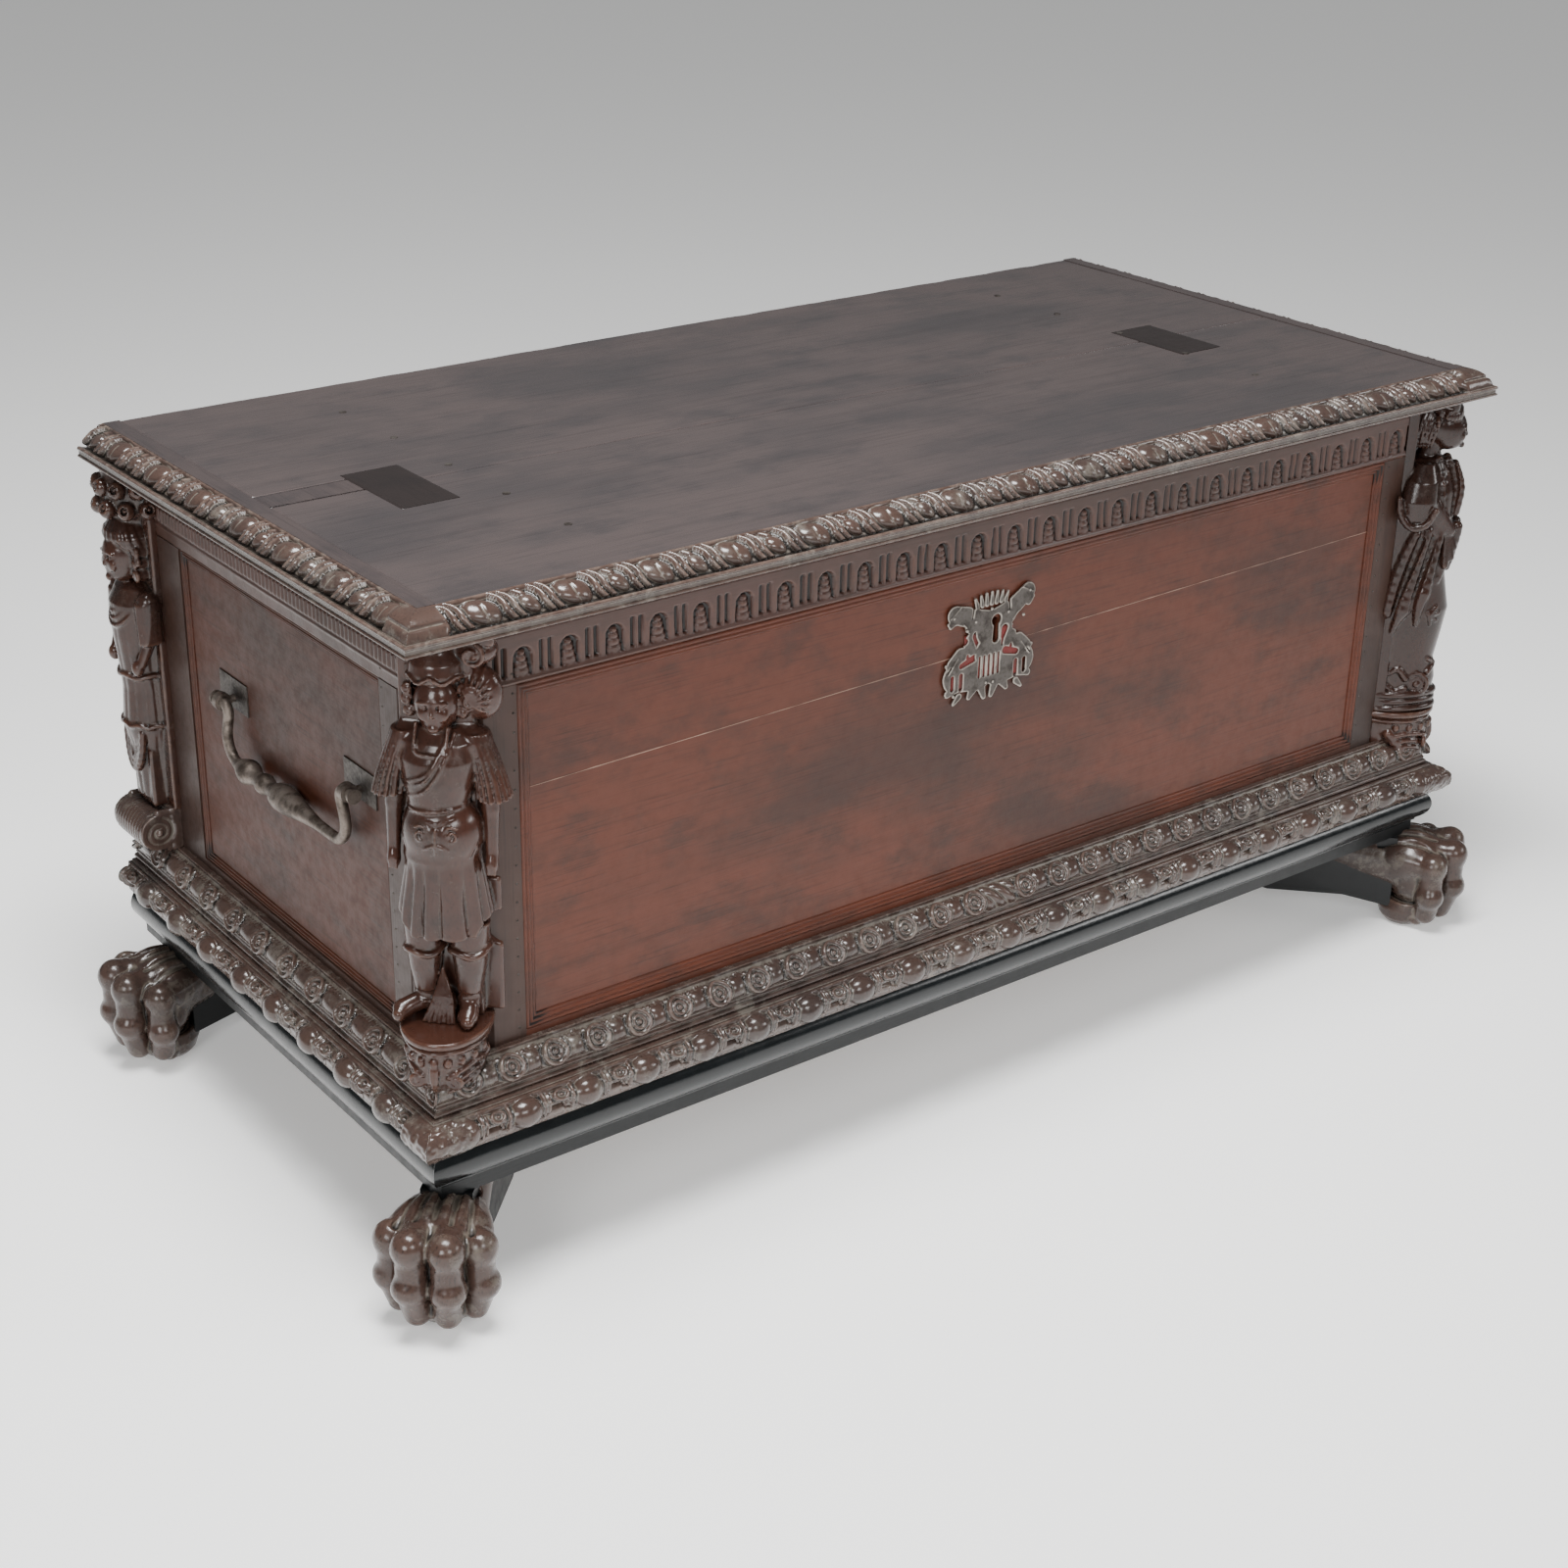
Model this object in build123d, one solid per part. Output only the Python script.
from build123d import *
import os
from math import cos, radians, sin, sqrt

# Carved walnut chest (cassone) on four paw feet. Millimetres, +Z up, the front faces -Y.
# While it is built, x = 0 is the middle of the length, y = 0 the front edge of the lid and
# z = 0 the floor. "Inset" always means the distance inwards from the lid's front or end edge.

# How far a cutting shape runs past the wood or iron that it cuts.
over = 1

# ---------------------------------------------------------------- lid
lid_length = 1450
lid_depth = 692
lid_thickness = 32
lid_moulding_width = 31
lid_fascia_height = 11
lid_fascia_step = 4
lid_strip_width = 18
lid_joint_from_front = 334
batten_from_end = 258
batten_width = 52
batten_thickness = 20
batten_gap_to_walls = 18
nail_radius = 4
nail_depth = 1.2
nails_per_batten = 5

# ---------------------------------------------------------------- carcass
wall_inset = 43.5
wall_thickness = 28
wall_height = 480
panel_recess = 4
side_panel_recess = 5
bottom_thickness = 22
corner_chamfer = 56
front_rail_height = 53
frieze_height = 68
side_frieze_height = 70
side_rail_height = 54
front_stile_end = 135
side_front_stile_end = 133
side_rear_stile_width = 108
panel_moulding_width = 13
panel_moulding_height = 6
panel_joint_drop_left = 175
panel_joint_drop_right = 152
back_joint_height = 450

# ---------------------------------------------------------------- plinth and mouldings
foot_height = 121
fascia_inset = 23
fascia_height = 28
plinth_thickness = 50
roll_height = 30
roll_reach = 14
gadroon_height = 30
gadroon_reach = 31
gadroon_lip = 27
gadroon_undercut = 19
hollow_height = 7
hollow_inset = 17
rosette_height = 39
rosette_foot_inset = 17
rosette_foot_height = 6
rosette_neck_inset = 20
rosette_crown_inset = 18
rosette_top_inset = 36
rosette_fillet = 4

# ---------------------------------------------------------------- paw feet
toe_angles = (-82, -24, 24, 82)
toe_fan_across = 45
toe_fan_along = 35
toe_rings = (
    (0, 9, -4),
    (8, 12.5, -2),
    (24, 14.5, 0),
    (42, 16, 2),
    (57, 17, 3),
    (70, 14, 2),
    (79, 12.5, 1),
    (90, 15, 1),
    (106, 17, 1),
    (118, 14, 0),
    (127, 6, 0),
)
pad_across = 48
pad_along = 38
pad_rings = ((0, 0.7), (0.17, 0.92), (0.5, 1), (0.8, 0.86), (1, 0.6))
pad_height = 118
leg_start = 6
leg_length = 170
leg_height = 90
leg_rise = 7
leg_radius = 31
leg_end_radius = 20
front_paw_outset = -9
rear_paw_outset = 8
rear_paw_from_back = 64
bracket_start = 40
bracket_length = 215
bracket_thickness = 52
bracket_foot_rise = 25
bracket_rise = 37
bracket_sweep = 60
bracket_clearance = 0.3

# ---------------------------------------------------------------- carved corner figures
console_bottom = 240
console_height = 57
disc_height = 10
console_foot_half = 28
notch_clearance = 1
rear_figure_width = 84
rear_figure_from_back = 44
rear_console_height = 49
scroll_radius = 26
scroll_inset = 14
capital_height = 46
slab_thickness = 14
warrior_slab_half = 34
robe_slab_half = 38

# ---------------------------------------------------------------- handles
handle_from_front = 322
handle_drop = 60
handle_height = 486
eye_spacing = 268
rod_radius = 5.5
pivot_clearance = 0.4
pivot_stand_off = 15
pivot_end = 14
knob_length = 3
knob_rim = 2
arm_inset = 18
arm_splay = 20
arm_bend = 9
corner_bend = 24
eye_width = 9
eye_wall = 3.5
shank_radius = 4
shank_clearance = 0.1
plate_length = 62
plate_height = 34
plate_thickness = 1.5
grip_profile = (
    (-78, 5.5),
    (-50, 7.5),
    (-22, 11.5),
    (4, 14),
    (20, 11),
    (31, 7.5),
    (46, 11),
    (60, 7.5),
    (80, 13),
    (96, 9),
    (110, 5.5),
)

# ---------------------------------------------------------------- hinges
hinge_from_end = 290
hinge_length = 62
knuckle_radius = 6
knuckle_gap = 0.5
pin_radius = 3
pin_clearance = 0.05
pin_head_length = 2
pin_head_radius = 5
leaf_thickness = 3
leaf_relief = 7.5
fixed_leaf_height = 70
lid_leaf_height = 28
hinge_air = 1

# ---------------------------------------------------------------- lock and escutcheon
lock_from_left = 718
keyhole_drop = 136
lock_width = 150
lock_height = 178
lock_depth = 34
lock_wall = 2.5
lock_top_gap = 10
staple_plate = (64, 30, 3)
eye_plate_thickness = 6
eye_plate_width = 18
eye_plate_drop = 38
eye_hole = (11, 9)
bolt_size = (64, 10, 8)
bolt_air = 3
guide_clearance = 0.4
guide_thickness = 3
guide_from_bolt_end = 9
slot_air = 4
slot_side_air = 3
backing_thickness = 1.5
escutcheon_thickness = 2
escutcheon_width = 133
escutcheon_height = 133
keyhole_radius = 5
keyhole_length = 22
keyhole_width = 5
slot_width = 4
slot_height = 18
slot_pitch = 9
slot_count = 5
slot_drop = 16
escutcheon_shift = 7.5
escutcheon_drop = 23.5

# ---------------------------------------------------------------- heights and lines worked out
fascia_top = foot_height + fascia_height
roll_top = fascia_top + roll_height
gadroon_top = roll_top + gadroon_height
shelf_top = gadroon_top + hollow_height
rosette_top = shelf_top + rosette_height
wall_bottom = gadroon_top
wall_top = wall_bottom + wall_height
lid_top = wall_top + lid_thickness
half_lid = lid_length / 2
wall_inner = wall_inset + wall_thickness
panel_face = wall_inset + panel_recess
frieze_bottom = wall_top - frieze_height
rail_top = wall_bottom + front_rail_height
hinge_axis_y = lid_depth + knuckle_radius + hinge_air
diagonal = sqrt(2)
console_top = console_bottom + console_height
rear_console_top = rosette_top + rear_console_height
corner_back = (wall_inset + corner_chamfer / 2) * diagonal
side_rear_stile_start = lid_depth - wall_thickness - side_rear_stile_width
keyhole_height = wall_top - keyhole_drop
escutcheon_x = lock_from_left - half_lid - escutcheon_shift
escutcheon_z = keyhole_height - escutcheon_drop

parts = {}


# ================================================================ helpers
def block(x, y, z):
    """Box between the low and high values of x, y and z."""
    size = (x[1] - x[0], y[1] - y[0], z[1] - z[0])
    middle = (sum(x) / 2, sum(y) / 2, sum(z) / 2)
    return Pos(*middle) * Box(*size)


def prism(points, z):
    """Upright prism over a polygon in plan."""
    outline = make_face(Polyline(*points, close=True))
    return Pos(0, 0, z[0]) * extrude(outline, z[1] - z[0])


def rod(start, end, radius):
    """Round bar between two points."""
    axis = Vector(end) - Vector(start)
    return Plane(origin=start, z_dir=axis) * Cylinder(
        radius, axis.length, align=(Align.CENTER, Align.CENTER, Align.MIN)
    )


def taper(start, end, radius_start, radius_end):
    """Round bar that narrows from one point to the other."""
    axis = Vector(end) - Vector(start)
    return Plane(origin=start, z_dir=axis) * Cone(
        radius_start, radius_end, axis.length, align=(Align.CENTER, Align.CENTER, Align.MIN)
    )


def mirrored(shape):
    """The same piece at the other end of the chest."""
    return mirror(shape, about=Plane.YZ)


def add(name, *solids):
    """Keep the solids of one named piece."""
    parts[name] = [solid for shape in solids for solid in shape.solids()]


def front_run(profile):
    """Moulding profile (inset, height) run along the front and mitred at both ends."""
    reach = 2 * wall_inset
    plane = Plane(origin=(-half_lid - reach, 0, 0), x_dir=(0, 1, 0), z_dir=(1, 0, 0))
    run = extrude(plane * profile, lid_length + 2 * reach)
    corners = [
        (-half_lid - reach, -reach),
        (half_lid + reach, -reach),
        (half_lid - reach, reach),
        (-half_lid + reach, reach),
    ]
    return run & prism(corners, (0, 2 * lid_top))


def left_run(profile):
    """Moulding profile (inset, height) run along the left end, mitred at the front corner."""
    reach = 2 * wall_inset
    plane = Plane(origin=(-half_lid, lid_depth, 0), x_dir=(1, 0, 0), z_dir=(0, -1, 0))
    run = extrude(plane * profile, lid_depth + reach)
    corners = [
        (-half_lid - reach, -reach),
        (-half_lid + reach, reach),
        (-half_lid + reach, lid_depth),
        (-half_lid - reach, lid_depth),
    ]
    return run & prism(corners, (0, 2 * lid_top))


def add_moulding(name, profile, *cutters):
    """Front, left and right lengths of one moulding, each less the given cutters."""
    front = front_run(profile)
    left = left_run(profile)
    for cutter in cutters:
        front -= cutter
        left -= cutter
    add(name + "_front", front)
    add(name + "_left", left)
    add(name + "_right", mirrored(left))


def corner_frame(outset):
    """Frame at the front left corner: X across, Y inwards along the diagonal, Z up."""
    step = outset / diagonal
    return Plane(origin=(-half_lid - step, -step, 0), x_dir=(1, -1, 0), z_dir=(0, 0, 1))


def end_frame(y, outset):
    """Frame at the left end: X along the end, Y inwards, Z up."""
    return Plane(origin=(-half_lid - outset, y, 0), x_dir=(0, -1, 0), z_dir=(0, 0, 1))


# ================================================================ lid
def lid_boards():
    """Two long boards and a cross strip at each end."""
    field_end = half_lid - lid_moulding_width
    board_end = field_end - lid_strip_width
    z = (wall_top, lid_top)
    x = (-board_end, board_end)
    front = block(x, (lid_moulding_width, lid_joint_from_front), z)
    rear = block(x, (lid_joint_from_front, lid_depth), z)
    for nail in lid_nails():
        front -= nail
        rear -= nail
    add("lid_board_front", front)
    add("lid_board_rear", rear)
    strip = block((-field_end, -board_end), (lid_moulding_width, lid_depth), z)
    add("lid_end_strips", strip, mirrored(strip))


def lid_edge_profile():
    """Plain fascia below a quarter-round that meets the lid's top."""
    width, foot = lid_moulding_width, wall_top + lid_fascia_height
    fascia = [(width, lid_top), (width, wall_top), (0, wall_top), (0, foot), (lid_fascia_step, foot)]
    bulge = (lid_fascia_step + 0.32 * width, lid_top - 0.19 * lid_thickness)
    return make_face(
        Curve()
        + [
            Polyline(*fascia),
            ThreePointArc(fascia[-1], bulge, fascia[0]),
        ]
    )


def batten_place():
    """Middle of the left batten in x, and its two ends in y."""
    y = (wall_inner + batten_gap_to_walls, lid_depth - wall_thickness - batten_gap_to_walls)
    return -half_lid + batten_from_end, y


def lid_nails():
    """Nails that come through the lid from the battens, clenched flush with its top."""
    x, y = batten_place()
    pitch = (y[1] - y[0]) / nails_per_batten
    z = (lid_top - nail_depth, lid_top)
    places = [y[0] + pitch * (step + 0.5) for step in range(nails_per_batten)]
    nails = [rod((x, place, z[0]), (x, place, z[1]), nail_radius) for place in places]
    return nails + [mirrored(nail) for nail in nails]


def lid_battens():
    """Two cross battens under the lid."""
    x, y = batten_place()
    batten_x = (x - batten_width / 2, x + batten_width / 2)
    batten = block(batten_x, y, (wall_top - batten_thickness, wall_top))
    add("lid_battens", batten, mirrored(batten))
    add("lid_nails", *lid_nails())


# ================================================================ carcass
def chamfers():
    """What the two front corners lose, so that the corner figures can be set in."""
    x, y = -half_lid + wall_inset, wall_inset
    wedge = prism(
        [(x - over, y - over), (x + corner_chamfer + over, y - over), (x - over, y + corner_chamfer + over)],
        (console_bottom, wall_top),
    )
    return wedge + mirrored(wedge)


def add_front(corner_cut):
    """Front frame of stiles and rails, the two panel boards and their moulding."""
    y = (wall_inset, wall_inner)
    end = half_lid - wall_inset
    opening = half_lid - front_stile_end
    stile = block((-end, -opening), y, (wall_bottom, frieze_bottom)) - corner_cut
    add("front_stiles", stile, mirrored(stile))
    add("front_frieze", block((-end, end), y, (frieze_bottom, wall_top)) - corner_cut)
    add("front_bottom_rail", block((-opening, opening), y, (wall_bottom, rail_top)))

    y = (panel_face, wall_inner)
    z = (rail_top, frieze_bottom)
    field = block((-opening, opening), y, z)
    joint = [(opening, wall_top - panel_joint_drop_right), (-opening, wall_top - panel_joint_drop_left)]
    low = [(-opening, z[0]), (opening, z[0]), *joint]
    plane = Plane(origin=(0, y[0] - over, 0), x_dir=(1, 0, 0), z_dir=(0, -1, 0))
    lower_half = extrude(plane * make_face(Polyline(*low, close=True)), -(wall_thickness + 2 * over))
    keyhole = keyhole_cut(y[0] - over, wall_thickness + 2 * over)
    add("front_panel_lower", field & lower_half - keyhole)
    add("front_panel_upper", field - lower_half - keyhole)

    inner = opening - panel_moulding_width
    face = (panel_face - panel_moulding_height, panel_face)
    outside = block((-opening, opening), face, z)
    inside = block((-inner, inner), face, (z[0] + panel_moulding_width, z[1] - panel_moulding_width))
    bead = outside - inside
    soft_edges = bead.faces().sort_by(Axis.Y)[0].inner_wires()[0].edges()
    add("front_panel_moulding", chamfer(soft_edges, panel_moulding_height / 2))


def keyhole_cut(y, depth):
    """Round-topped keyhole that runs along Y from the given y."""
    x = lock_from_left - half_lid
    hole = Plane(origin=(x, y, keyhole_height), z_dir=(0, 1, 0)) * Cylinder(
        keyhole_radius, depth, align=(Align.CENTER, Align.CENTER, Align.MIN)
    )
    half = keyhole_width / 2
    slot_z = (keyhole_height - keyhole_length, keyhole_height)
    return hole + block((x - half, x + half), (y, y + depth), slot_z)


def add_sides(corner_cut):
    """Each end: a stile at both sides, a rail, a frieze and a set-back panel."""
    x = (-half_lid + wall_inset, -half_lid + wall_inner)
    back = lid_depth - wall_thickness
    rail_z = (wall_bottom, wall_bottom + side_rail_height)
    frieze_z = (wall_top - side_frieze_height, wall_top)
    opening = (side_front_stile_end, side_rear_stile_start)
    front_stile = block(x, (wall_inner, opening[0]), (wall_bottom, frieze_z[0])) - corner_cut
    rear_stile = block(x, (opening[1], back), (wall_bottom, frieze_z[0]))
    rail = block(x, opening, rail_z)
    frame = [front_stile, rear_stile, rail]
    frieze = block(x, (wall_inner, back), frieze_z) - corner_cut
    panel_x = (x[0] + side_panel_recess, x[1])
    panel = block(panel_x, opening, (rail_z[1], frieze_z[0]))
    for y in eye_places():
        panel -= shank_hole(panel_x, y)
    add("left_side_frame", *frame)
    add("right_side_frame", *[mirrored(piece) for piece in frame])
    add("side_friezes", frieze, mirrored(frieze))
    add("left_side_panel", panel)
    add("right_side_panel", mirrored(panel))


def shank_hole(x, y):
    """Hole along X for the shank of a handle's eye."""
    start, end = (x[0] - over, y, handle_height), (x[1] + over, y, handle_height)
    return rod(start, end, shank_radius + shank_clearance)


def add_back_and_bottom():
    """Two back boards that run the full length, and the chest's floor."""
    end = half_lid - wall_inset
    y = (lid_depth - wall_thickness, lid_depth)
    lower = block((-end, end), y, (wall_bottom, back_joint_height))
    upper = block((-end, end), y, (back_joint_height, wall_top))
    add("back_boards", lower, upper)
    inner = half_lid - wall_inner
    bottom_z = (wall_bottom, wall_bottom + bottom_thickness)
    add("chest_bottom", block((-inner, inner), (wall_inner, y[0]), bottom_z))


# ================================================================ plinth and its mouldings
def add_plinth():
    """Four boards whose lower edge shows as the black fascia."""
    outer = half_lid - fascia_inset
    inner = outer - plinth_thickness
    front = (fascia_inset, fascia_inset + plinth_thickness)
    back = (lid_depth - plinth_thickness, lid_depth)
    z = (foot_height, gadroon_top)
    end = block((-outer, -inner), (front[1], back[0]), z)
    add("plinth_front", block((-outer, outer), front, z))
    add("plinth_back", block((-outer, outer), back, z))
    add("plinth_left", end)
    add("plinth_right", mirrored(end))


def roll_profile():
    """Half-round of the ebonised moulding."""
    low, high = fascia_top, roll_top
    crown = fascia_inset - roll_reach
    side = [(fascia_inset, low), (fascia_inset, high)]
    swell = ThreePointArc(side[0], (crown, (low + high) / 2), side[1])
    return make_face(Curve() + [Line(*side), swell])


def gadroon_profile():
    """Fat round of the gadroon, and the hollow that climbs from its lip to the wall."""
    back, crown = fascia_inset, fascia_inset - gadroon_reach
    lip = fascia_inset - gadroon_lip
    start, foot = (back, roll_top), (back - gadroon_undercut, roll_top)
    edge, top = (lip, gadroon_top), (hollow_inset, shelf_top)
    wall = [top, (wall_inset, shelf_top), (wall_inset, gadroon_top), (back, gadroon_top), start, foot]
    middle = ((lip + hollow_inset) / 2, (gadroon_top + shelf_top) / 2 - hollow_height / 4)
    swell = ThreePointArc(foot, (crown, roll_top + gadroon_height / 2), edge)
    return make_face(Curve() + [swell, ThreePointArc(edge, middle, top), Polyline(*wall)])


def rosette_profile():
    """Small round foot, the big round that carries the rosettes, and a fillet on top."""
    neck = shelf_top + rosette_foot_height
    fillet = rosette_top - rosette_fillet
    foot = (rosette_foot_inset, (shelf_top + neck) / 2)
    crown = (rosette_crown_inset, (neck + fillet) / 2)
    back = [
        (rosette_top_inset, fillet),
        (rosette_top_inset, rosette_top),
        (wall_inset, rosette_top),
        (wall_inset, shelf_top),
        (rosette_neck_inset, shelf_top),
    ]
    return make_face(
        Curve()
        + [
            ThreePointArc((rosette_neck_inset, shelf_top), foot, (rosette_neck_inset, neck)),
            ThreePointArc((rosette_neck_inset, neck), crown, (rosette_top_inset, fillet)),
            Polyline(*back),
        ]
    )


# ================================================================ paw feet
def paw():
    """Foot in its own frame: +Y runs inwards under the chest and z = 0 is the floor."""
    rings = [(share, 0, 0, size * pad_across, size * pad_along) for share, size in pad_rings]
    shape = rounded_form(rings, 0, pad_height, 0)
    for angle in toe_angles:
        across = toe_fan_across * sin(radians(angle))
        along = toe_fan_along * cos(radians(angle))
        toe = [(height, across, along + step, radius, radius) for height, radius, step in toe_rings]
        shape += rounded_form(toe, 0, 1, 0)
    shape += paw_leg(0)
    return shape & block((-leg_length, leg_length), (-leg_length, leg_length), (0, leg_length))


def paw_leg(clearance):
    """The leg behind the paw, which tapers inwards under the plinth."""
    start = (0, leg_start, leg_height)
    end = (0, leg_start + leg_length, leg_height + leg_rise)
    return taper(start, end, leg_radius + clearance, leg_end_radius + clearance)


def foot_bracket():
    """Black block along the leg, with a level underside swept up to the plinth at its end."""
    end = bracket_start + bracket_length
    level = end - bracket_sweep
    rise = bracket_start + bracket_sweep
    plane = Plane(origin=(-bracket_thickness / 2, 0, 0), x_dir=(0, 1, 0), z_dir=(1, 0, 0))
    sweep_middle = (level + 0.7 * bracket_sweep, bracket_rise + 0.3 * (foot_height - bracket_rise))
    sides = [(end, foot_height), (bracket_start, foot_height), (bracket_start, bracket_foot_rise)]
    outline = Curve() + [
        Polyline(*sides, (rise, bracket_rise), (level, bracket_rise)),
        ThreePointArc((level, bracket_rise), sweep_middle, (end, foot_height)),
    ]
    return extrude(plane * make_face(outline), bracket_thickness) - paw_leg(bracket_clearance)


def add_feet():
    """Front feet point out of the corners, rear feet out of the ends."""
    room = half_lid - fascia_inset
    plinth = block((-room, room), (fascia_inset, lid_depth), (foot_height, 2 * foot_height))
    front = corner_frame(front_paw_outset)
    rear = end_frame(lid_depth - rear_paw_from_back, rear_paw_outset)
    front_foot = front * paw() - plinth
    rear_foot = rear * paw() - plinth
    add("paw_front_left", front_foot)
    add("paw_front_right", mirrored(front_foot))
    add("paw_rear_left", rear_foot)
    add("paw_rear_right", mirrored(rear_foot))
    brackets = [front * foot_bracket(), rear * foot_bracket()]
    add("foot_brackets", *brackets, *[mirrored(bracket) for bracket in brackets])


# ================================================================ corner figures
# A figure's sections are (share of its height, across, how far its middle stands proud of the
# wood behind it, half width, half depth). Its own frame has X across, Y inwards and Z up.
def rounded_form(sections, foot, rise, back):
    """Straight-sided loft through ellipses."""
    rings = [
        Plane(origin=(across, back - proud, foot + share * rise)) * Ellipse(half_width, half_depth)
        for share, across, proud, half_width, half_depth in sections
    ]
    return loft(rings, ruled=True)


def limb(start, end, foot, rise, back):
    """Tapering round limb between two (share, across, proud, radius) ends."""
    ends = [(across, back - proud, foot + share * rise) for share, across, proud, radius in (start, end)]
    return taper(*ends, start[3], end[3])


def ball(share, across, proud, radius, foot, rise, back):
    """Round head at a share of the figure's height."""
    return Pos(across, back - proud, foot + share * rise) * Sphere(radius)


def console():
    """Bracket under a front figure: a narrow foot, a full body and a round disc on top."""
    place = (console_bottom, console_height, corner_back)
    disc = 1 - disc_height / console_height
    narrow = console_foot_half
    foot = [(0, 0, 26, narrow - 5, 46), (0.27, 0, 26, narrow, 46)]
    body = [*foot, (0.5, 0, 22, 40, 46), (disc, 0, 22, 37, 42)]
    rim = [(disc, 0, 20, 42, 46), (1, 0, 20, 44, 48)]
    return rounded_form(body, *place) + rounded_form(rim, *place)


def warrior():
    """Standing soldier: boots, pleated skirt, cuirass, arms, and a crested helmet."""
    place = (console_top, wall_top - console_top, corner_back)
    trunk = [
        (0.26, 0, 17, 46, 34),
        (0.42, 0, 17, 37, 29),
        (0.58, 0, 19, 29, 28),
        (0.67, 0, 15, 38, 28),
        (0.73, 0, 11, 40, 24),
        (0.76, 0, 7, 18, 18),
    ]
    helmet = [(0.82, 0, 3, 24, 23), (0.87, 0, 1, 26, 24), (1, 0, -3, 24, 24)]
    crest = [(0.74, 30, -4, 20, 14), (0.9, 34, -4, 22, 16), (1, 32, -4, 24, 18)]
    shape = rounded_form(trunk, *place) + rounded_form(helmet, *place) + rounded_form(crest, *place)
    shape += ball(0.8, 0, 5, 21, *place)
    for side in (-1, 1):
        leg = [(0, side * 22, 30, 17, 20), (0.03, side * 21, 20, 14, 17), (0.14, side * 20, 21, 17, 18)]
        shape += rounded_form(leg + [(0.27, side * 19, 19, 19, 20)], *place)
        shape += limb((0.71, side * 40, 11, 15), (0.56, side * 48, 14, 18), *place)
        shape += limb((0.58, side * 47, 14, 9), (0.38, side * 48, 17, 8), *place)
    return shape + slab(warrior_slab_half, *place)


def draped_figure():
    """Robed woman whose lower half narrows to a herm, with her hair swept up."""
    place = (console_top, wall_top - console_top, corner_back)
    robe = [
        (0, 0, 20, 38, 40),
        (0.1, 0, 20, 34, 38),
        (0.3, -2, 18, 40, 34),
        (0.5, -2, 20, 42, 36),
        (0.65, 0, 17, 42, 34),
        (0.74, 0, 11, 40, 28),
        (0.78, 4, 7, 18, 18),
    ]
    sleeve = [(0.48, 36, 12, 12, 12), (0.55, 38, 14, 20, 18), (0.68, 34, 12, 22, 20), (0.75, 26, 8, 14, 14)]
    hair = [(0.87, 0, 5, 26, 25), (0.94, 0, 3, 27, 26), (1, 0, -2, 26, 24)]
    shape = rounded_form(robe, *place) + rounded_form(sleeve, *place) + rounded_form(hair, *place)
    return shape + ball(0.84, 0, 9, 23, *place) + slab(robe_slab_half, *place)


def slab(half_width, foot, rise, back):
    """Flat wood that a front figure is carved from, against the corner."""
    return block((-half_width, half_width), (back - slab_thickness, back + over), (foot, foot + rise))


def rear_figure():
    """Standing tunic figure in half relief, under a leafy capital."""
    place = (rear_console_top, wall_top - rear_console_top, wall_inset)
    half = rear_figure_width / 2
    top = 1 - capital_height / (wall_top - rear_console_top)
    robe = [
        (0, 0, 2, 0.55 * half, 22),
        (0.19, 0, 4, 0.62 * half, 26),
        (0.22, 0, 4, 0.8 * half, 32),
        (0.4, 0, 4, 0.72 * half, 30),
        (0.6, 0, 6, 0.86 * half, 36),
        (0.66, 0, 4, 0.8 * half, 28),
        (0.69, 0, 2, 0.4 * half, 20),
    ]
    capital = [
        (top - 0.05, 0, 2, 27, 26),
        (top, 0, 2, 34, 34),
        (top + 0.05, 0, 2, half, 44),
        (1, 0, 2, 0.95 * half, 46),
    ]
    shape = rounded_form(robe, *place) + rounded_form(capital, *place)
    for side in (-1, 1):
        shape += limb((0.65, side * 0.7 * half, 6, 13), (0.42, side * 0.8 * half, 6, 9), *place)
    return shape + ball(top - 0.1, 0, 10, 29, *place)


def rear_console():
    """Scroll bracket: a round volute across the end, and the wood that ties it to the wall."""
    half = rear_figure_width / 2
    middle = rear_console_top - scroll_radius
    scroll = rod((-half, scroll_inset, middle), (half, scroll_inset, middle), scroll_radius)
    tie = block((-half, half), (scroll_inset, wall_inset), (rosette_top, rear_console_top))
    return scroll + tie


def add_figures():
    """Keep of each carved piece what lies outside the carcass and under the lid."""
    x, y, reach = -half_lid + wall_inset, wall_inset, 3 * wall_inset
    far_x, far_y = x + 2 * corner_chamfer, y + 2 * corner_chamfer
    outside = [
        (x - reach, y - reach),
        (far_x, y - reach),
        (far_x, y),
        (x + corner_chamfer, y),
        (x, y + corner_chamfer),
        (x, far_y),
        (x - reach, far_y),
    ]
    corner = corner_frame(0)
    front_console = corner * console() & prism(outside, (console_bottom, console_top))
    above = prism(outside, (console_top, wall_top))
    add("warrior_figure", corner * warrior() & above)
    mirrored_room = mirrored(above)
    add("draped_figure", mirrored(corner * draped_figure()) & mirrored_room)
    add("front_consoles", front_console, mirrored(front_console))

    rear = end_frame(lid_depth - rear_figure_from_back, 0)
    room = block((x - reach, x), (side_rear_stile_start, lid_depth), (rosette_top, wall_top))
    rear_piece = rear * rear_figure() & room
    rear_bracket = rear * rear_console() & room
    add("rear_left_figure", rear_piece)
    add("rear_right_figure", mirrored(rear_piece))
    add("rear_consoles", rear_bracket, mirrored(rear_bracket))


def console_notch():
    """Room that the rosette moulding leaves for the narrow feet of the front consoles."""
    half = console_foot_half + notch_clearance
    notch = corner_frame(0) * block((-half, half), (0, corner_back), (console_bottom, rosette_top + over))
    return notch + mirrored(notch)


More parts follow.
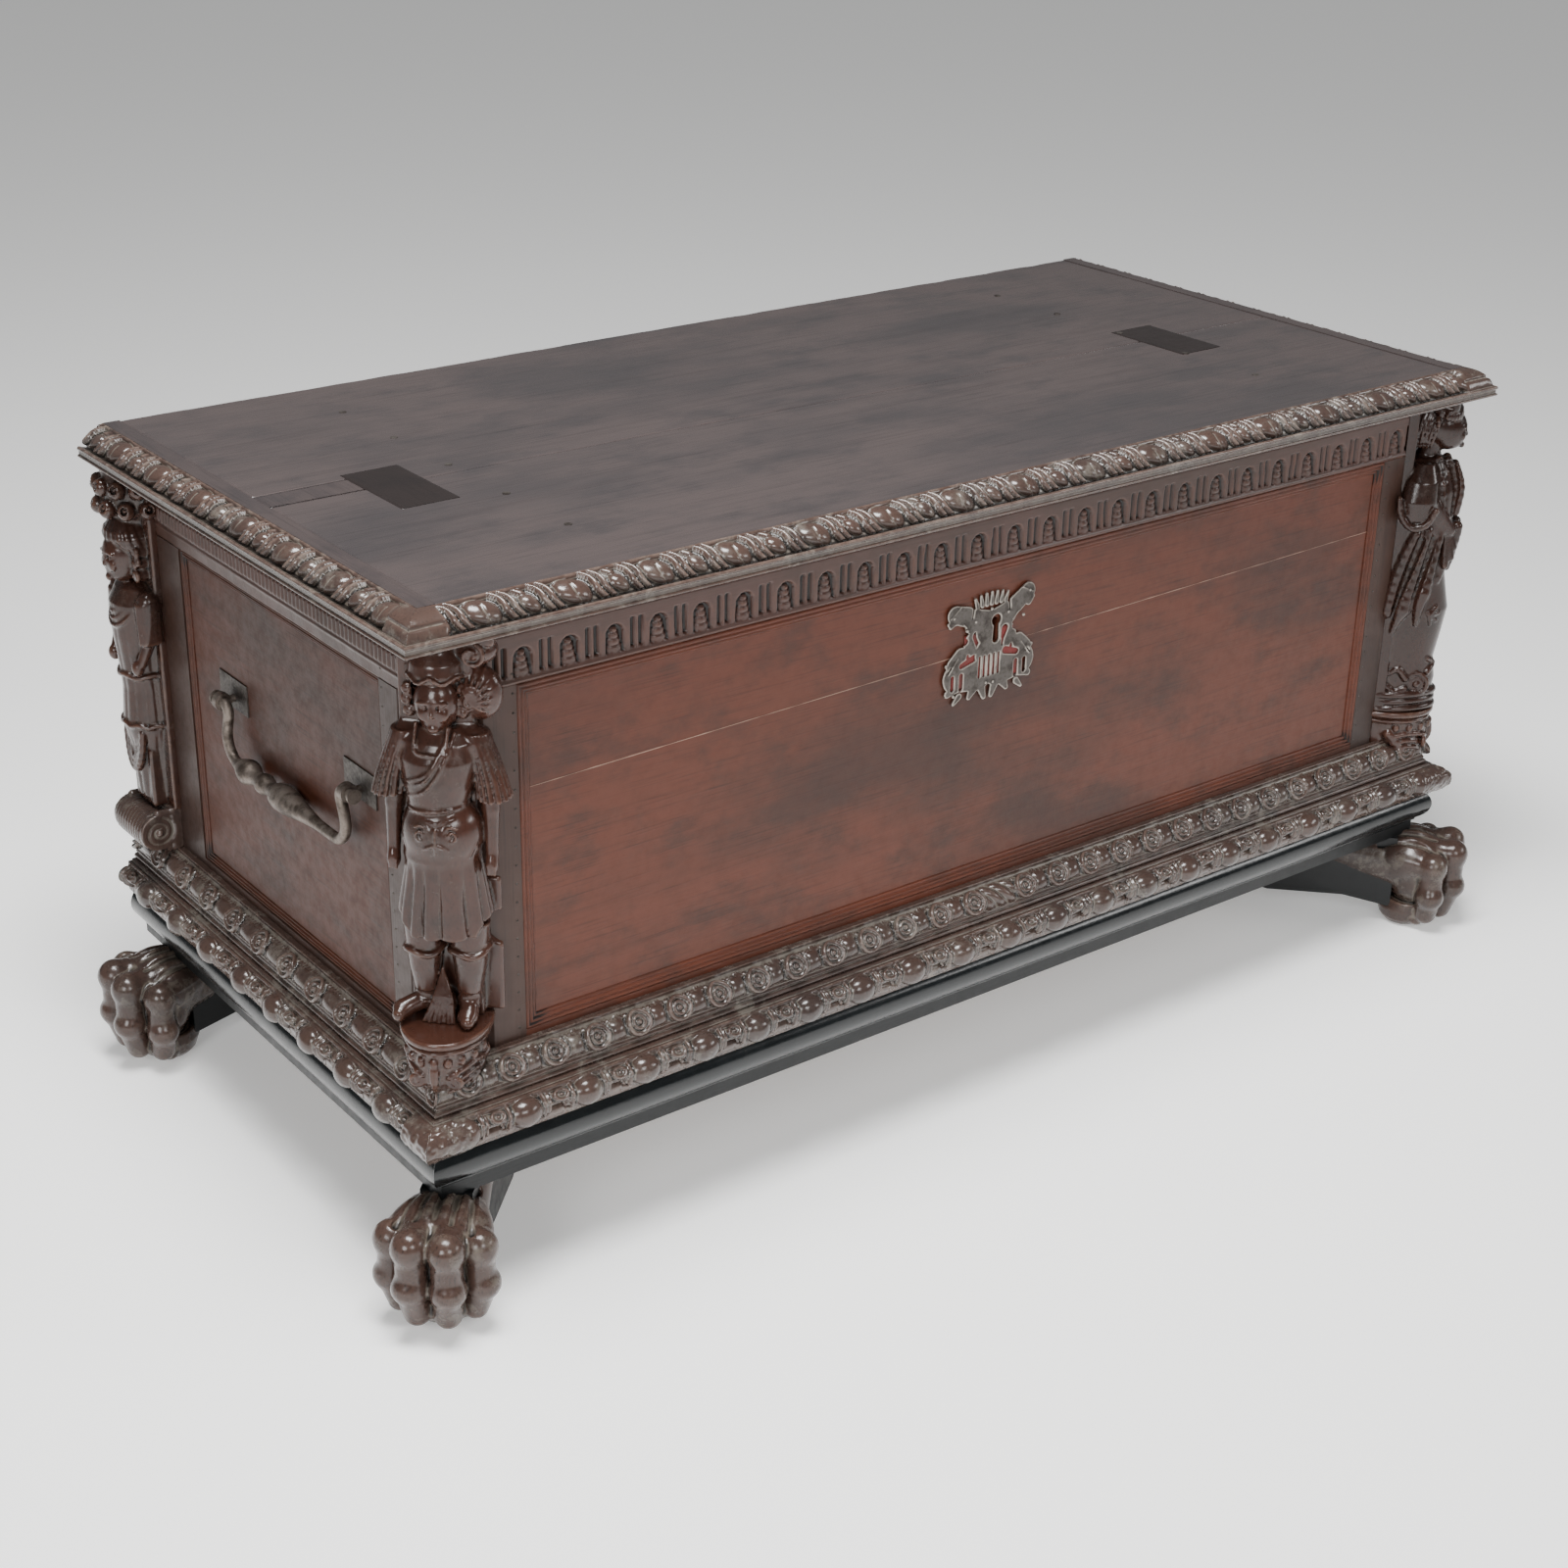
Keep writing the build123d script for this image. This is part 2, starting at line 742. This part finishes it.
# ================================================================ handles
def eye_places():
    """Both eyes of a handle, measured from the lid's front edge."""
    return [handle_from_front - eye_spacing / 2, handle_from_front + eye_spacing / 2]


def bail():
    """Swinging handle in the plane x = 0, hung from z = 0, with a turned grip."""
    eye = eye_spacing / 2
    arm = eye - arm_inset
    low = arm + arm_splay
    path = FilletPolyline(
        (0, -eye - pivot_end, 0),
        (0, -arm, 0),
        (0, -low, -handle_drop),
        (0, low, -handle_drop),
        (0, arm, 0),
        (0, eye + pivot_end, 0),
        radius=[arm_bend, corner_bend, corner_bend, arm_bend],
    )
    start = Plane(origin=path @ 0, z_dir=path % 0)
    shape = sweep(start * Circle(rod_radius), path=path)
    for side in (-1, 1):
        knob = eye + pivot_end
        shape += rod((0, side * knob, 0), (0, side * (knob - knob_length), 0), rod_radius + knob_rim)
    outline = Spline(*[(y, radius) for y, radius in grip_profile])
    first, last = grip_profile[0], grip_profile[-1]
    edges = Curve() + [outline, Polyline(last, (last[0], 0), (first[0], 0), first)]
    grip_plane = Plane(origin=(0, 0, 0), x_dir=(0, 1, 0), z_dir=(1, 0, 0))
    grip = revolve(grip_plane * make_face(edges), Axis((0, 0, 0), (0, 1, 0)))
    return shape + Pos(0, 0, -handle_drop) * grip


def add_handles():
    """Bail, eyes with their shanks and back plates, at both ends of the chest."""
    panel_x = -half_lid + wall_inset + side_panel_recess
    pivot_x = panel_x - pivot_stand_off
    handle = Pos(pivot_x, handle_from_front, handle_height) * bail()
    add("handle_left", handle)
    add("handle_right", mirrored(handle))
    eyes, plates = [], []
    inner = rod_radius + pivot_clearance
    outer = inner + eye_wall
    for y in eye_places():
        start = (pivot_x, y - eye_width / 2, handle_height)
        end = (pivot_x, y + eye_width / 2, handle_height)
        shank_start = (pivot_x + inner + eye_wall / 2, y, handle_height)
        shank_end = (-half_lid + wall_inner, y, handle_height)
        shank = rod(shank_start, shank_end, shank_radius)
        eyes.append(rod(start, end, outer) + shank - rod(start, end, inner))
        plate = block(
            (panel_x - plate_thickness, panel_x),
            (y - plate_length / 2, y + plate_length / 2),
            (handle_height - plate_height / 3, handle_height + 2 * plate_height / 3),
        )
        plates.append(plate - shank_hole((panel_x - plate_thickness, panel_x), y))
    add("handle_eyes", *eyes, *[mirrored(eye) for eye in eyes])
    add("handle_plates", *plates, *[mirrored(plate) for plate in plates])


# ================================================================ hinges
def add_hinges():
    """Two butt hinges at the back: fixed leaf with two knuckles, lid leaf with one."""
    fixed, moving, pins = [], [], []
    third = hinge_length / 3
    middle = -half_lid + hinge_from_end
    leaf_y = (lid_depth, lid_depth + leaf_thickness)
    hole = pin_radius + pin_clearance

    def knuckle(low, high):
        """Length of barrel around the hinge axis."""
        return rod((low, hinge_axis_y, wall_top), (high, hinge_axis_y, wall_top), knuckle_radius)

    def web(low, high, z):
        """Part of a leaf that reaches a knuckle."""
        return block((low, high), (lid_depth, hinge_axis_y), z)

    low, high = middle - hinge_length / 2, middle + hinge_length / 2
    inner = (low + third, high - third)
    bore = rod((low - over, hinge_axis_y, wall_top), (high + over, hinge_axis_y, wall_top), hole)
    plate = block((low, high), leaf_y, (wall_top - fixed_leaf_height, wall_top - leaf_relief))
    for ends in ((low, inner[0] - knuckle_gap), (inner[1] + knuckle_gap, high)):
        plate += knuckle(*ends) + web(*ends, (wall_top - leaf_relief, wall_top - pin_radius))
    fixed.append(plate - bore)
    plate = block((low, high), leaf_y, (wall_top + leaf_relief, wall_top + lid_leaf_height))
    plate += knuckle(*inner) + web(*inner, (wall_top + pin_radius, wall_top + leaf_relief))
    moving.append(plate - bore)
    head = pin_head_length
    pin = rod((low - head, hinge_axis_y, wall_top), (high + head, hinge_axis_y, wall_top), pin_radius)
    for x in (low - head, high):
        pin += rod((x, hinge_axis_y, wall_top), (x + head, hinge_axis_y, wall_top), pin_head_radius)
    pins.append(pin)
    for name, pieces in (("hinge_fixed_leaves", fixed), ("hinge_lid_leaves", moving), ("hinge_pins", pins)):
        add(name, *pieces, *[mirrored(piece) for piece in pieces])


# ================================================================ lock and escutcheon
def add_lock():
    """Lock case inside the front, its sliding bolt, and the staple under the lid."""
    x = lock_from_left - half_lid
    top = wall_top - lock_top_gap
    y = (wall_inner, wall_inner + lock_depth)
    outer_x = (x - lock_width / 2, x + lock_width / 2)
    case = block(outer_x, y, (top - lock_height, top))
    cavity_x = (outer_x[0] + lock_wall, outer_x[1] - lock_wall)
    cavity_z = (top - lock_height + lock_wall, top - lock_wall)
    case -= block(cavity_x, (y[0] - over, y[1] - lock_wall), cavity_z)
    eye_y = (y[0] + y[1] - lock_wall) / 2
    half_eye = eye_plate_thickness / 2
    slot_x = (x - half_eye - slot_air, x + half_eye + slot_air)
    half_plate = eye_plate_width / 2
    slot_y = (eye_y - half_plate - slot_side_air, eye_y + half_plate + slot_side_air)
    case -= block(slot_x, slot_y, (top - 2 * lock_wall, top + over))

    bolt_z = wall_top - eye_plate_drop + eye_hole[1]
    tip = x - half_eye - bolt_air
    bolt = block(
        (tip - bolt_size[0], tip),
        (eye_y - bolt_size[1] / 2, eye_y + bolt_size[1] / 2),
        (bolt_z - bolt_size[2] / 2, bolt_z + bolt_size[2] / 2),
    )
    add("lock_bolt", bolt)
    half_y = bolt_size[1] / 2 + guide_clearance
    half_z = bolt_size[2] / 2 + guide_clearance
    window_x = (tip - 2 * bolt_size[0], tip)
    window = block(window_x, (eye_y - half_y, eye_y + half_y), (bolt_z - half_z, bolt_z + half_z))
    for guide_x in (tip - guide_from_bolt_end, tip - bolt_size[0] + guide_from_bolt_end):
        guide = block(
            (guide_x - guide_thickness, guide_x),
            (eye_y - half_y - guide_thickness, y[1] - lock_wall),
            (bolt_z - half_z - guide_thickness, cavity_z[1]),
        )
        case += guide - window
    add("lock_case", case)

    length, width, thickness = staple_plate
    plate_y = (eye_y - width / 2, eye_y + width / 2)
    eye_plate_y = (eye_y - half_plate, eye_y + half_plate)
    plate = block((x - length / 2, x + length / 2), plate_y, (wall_top - thickness, wall_top))
    eye = block((x - half_eye, x + half_eye), eye_plate_y, (wall_top - eye_plate_drop, wall_top))
    hole = block(
        (x - 2 * half_eye, x + 2 * half_eye),
        (eye_y - eye_hole[0] / 2, eye_y + eye_hole[0] / 2),
        (bolt_z - eye_hole[1] / 2, bolt_z + eye_hole[1] / 2),
    )
    add("lid_lock_staple", plate + eye - hole)


def escutcheon_outline():
    """Half of the pierced plate's edge as fractions of its width and height, from its top."""
    return (
        (0.05, 0.5),
        (0.1, 0.42),
        (0.2, 0.46),
        (0.24, 0.38),
        (0.34, 0.5),
        (0.48, 0.44),
        (0.5, 0.32),
        (0.38, 0.3),
        (0.3, 0.16),
        (0.36, 0.06),
        (0.5, 0.0),
        (0.48, -0.3),
        (0.5, -0.36),
        (0.38, -0.42),
        (0.26, -0.36),
        (0.12, -0.42),
        (0.06, -0.5),
    )


def add_escutcheon():
    """Pierced iron plate over red leather, held by nails."""
    x, z = escutcheon_x, escutcheon_z
    right = [(x + a * escutcheon_width, z + b * escutcheon_height) for a, b in escutcheon_outline()]
    left = [(2 * x - px, pz) for px, pz in reversed(right)]
    plane = Plane(origin=(0, panel_face - backing_thickness, 0), x_dir=(1, 0, 0), z_dir=(0, -1, 0))
    plate = extrude(plane * make_face(Polyline(*right, *left, close=True)), escutcheon_thickness)
    y = panel_face - backing_thickness - escutcheon_thickness - over
    depth = escutcheon_thickness + 2 * over
    plate -= keyhole_cut(y, depth)
    for index in range(slot_count):
        slot_x = x + (index - (slot_count - 1) / 2) * slot_pitch
        slot_z = (z - slot_drop - slot_height, z - slot_drop)
        plate -= block((slot_x - slot_width / 2, slot_x + slot_width / 2), (y, y + depth), slot_z)
    for side in (-1, 1):
        gap_x = x + side * 0.34 * escutcheon_width
        gap = (gap_x - 0.04 * escutcheon_width, gap_x + 0.04 * escutcheon_width)
        plate -= block(gap, (y, y + depth), (z - 0.28 * escutcheon_height, z - 0.05 * escutcheon_height))
    add("escutcheon", plate)
    backing = block(
        (x - 0.42 * escutcheon_width, x + 0.42 * escutcheon_width),
        (panel_face - backing_thickness, panel_face),
        (z - 0.32 * escutcheon_height, z + 0.02 * escutcheon_height),
    )
    add("escutcheon_backing", backing - keyhole_cut(y, depth + backing_thickness + over))


# ================================================================ assembly
lid_boards()
add_moulding("lid_moulding", lid_edge_profile())
lid_battens()
add_front(chamfers())
add_sides(chamfers())
add_back_and_bottom()
add_plinth()
add_moulding("plinth_roll", roll_profile())
add_moulding("gadroon_moulding", gadroon_profile())
add_moulding("rosette_moulding", rosette_profile(), console_notch())
add_feet()
add_figures()
add_handles()
add_hinges()
add_lock()
add_escutcheon()

# The finished chest stands with the middle of its box, in plan, on the origin.
box = Compound([solid for solids in parts.values() for solid in solids]).bounding_box()
shift = Pos(-(box.min.X + box.max.X) / 2, -(box.min.Y + box.max.Y) / 2, 0)

os.makedirs("parts", exist_ok=True)
for name, solids in parts.items():
    placed = [shift * solid for solid in solids]
    export_step(placed[0] if len(placed) == 1 else Compound(placed), f"parts/{name}.step")
